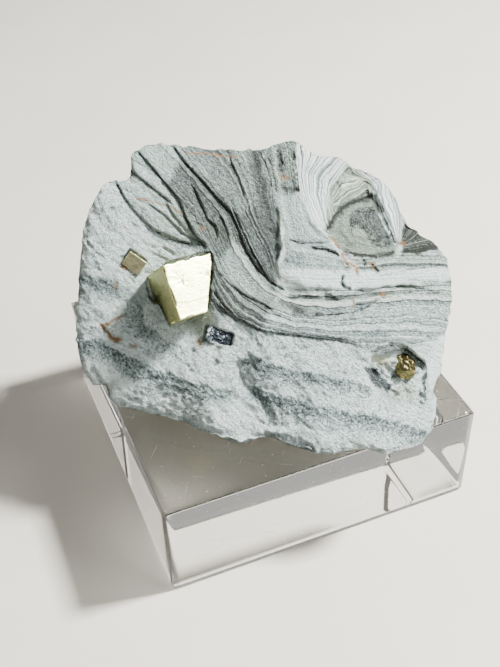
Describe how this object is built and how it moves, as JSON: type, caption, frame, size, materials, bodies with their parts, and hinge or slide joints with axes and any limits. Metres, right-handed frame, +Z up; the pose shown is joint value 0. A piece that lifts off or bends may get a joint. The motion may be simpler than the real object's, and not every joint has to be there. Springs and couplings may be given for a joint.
{
  "type": "pyrite on matrix mineral specimen",
  "caption": "Wedge of folded, banded grey matrix with pyrite cubes in its tilted face, resting on a clear square display block.",
  "frame": {"origin": "centre of the block's bottom face", "axes": "+Z up, +X along the block's front edge to the right, +Y towards the back"},
  "size_m": [0.0838, 0.0787, 0.0735],
  "materials": {
    "rock": "banded grey and white matrix, matt and finely granular, with rust stains along some cracks",
    "pyrite": "pale brassy metallic crystal faces with fine pits",
    "crust": "blue-black crust with a faint metallic glint",
    "clear_acrylic": "clear polished acrylic with fine scratches on top"
  },
  "bodies": {
    "root": {"matrix": "rock", "large_cube": "pyrite", "small_cube": "pyrite", "crusted_cube": "crust", "broken_crystal": "pyrite", "display_block": "clear_acrylic"}
  },
  "joints": []
}
